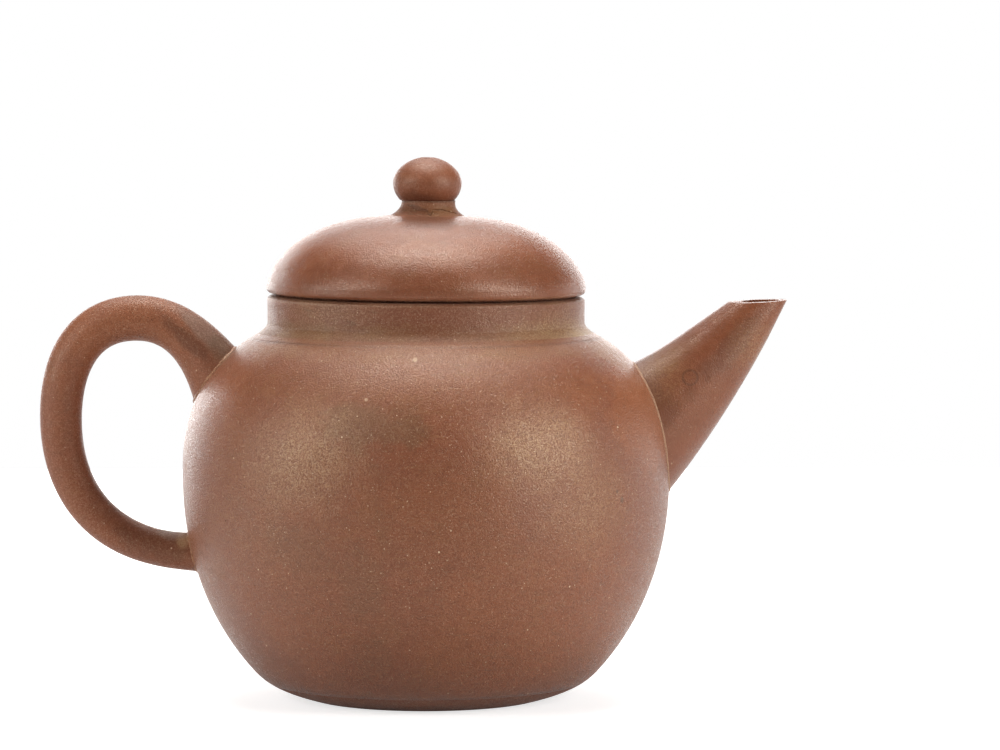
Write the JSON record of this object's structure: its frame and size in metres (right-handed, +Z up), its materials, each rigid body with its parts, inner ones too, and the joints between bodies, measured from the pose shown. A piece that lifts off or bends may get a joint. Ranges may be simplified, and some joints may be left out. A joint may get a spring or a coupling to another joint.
{
  "type": "clay teapot",
  "caption": "Round unglazed clay teapot with a straight conical spout, an ear-shaped loop handle and a loose domed lid with a bead knob, for brewing and pouring tea.",
  "frame": {"origin": "centre of the round foot, in the plane the pot stands on", "axes": "+Z up along the axis of the pot and lid; +X towards the spout, with the handle at -X; +Y across the pot"},
  "size_m": [0.1144, 0.0744, 0.0826],
  "materials": {
    "body_clay": "satin unglazed stoneware",
    "base_clay": "matt unglazed stoneware",
    "spout_clay": "satin unglazed stoneware",
    "handle_clay": "satin unglazed stoneware",
    "lid_clay": "satin unglazed stoneware",
    "knob_clay": "satin unglazed stoneware",
    "inner_clay": "matt unglazed stoneware"
  },
  "bodies": {
    "pot": {"body_wall": "body_clay", "base_disc": "base_clay", "shoulder_disc": "body_clay", "neck_ring": "body_clay", "spout": "spout_clay", "strainer": "inner_clay", "handle": "handle_clay"},
    "lid": {"lid_dome": "lid_clay", "lid_plate": "lid_clay", "lid_flange": "inner_clay", "knob_collar": "knob_clay", "knob": "knob_clay"}
  },
  "joints": [
    {"name": "lid_lift", "type": "slide", "parent": "pot", "child": "lid", "axis": [0, 0, 1], "range_m": [0, 0.04]}
  ]
}
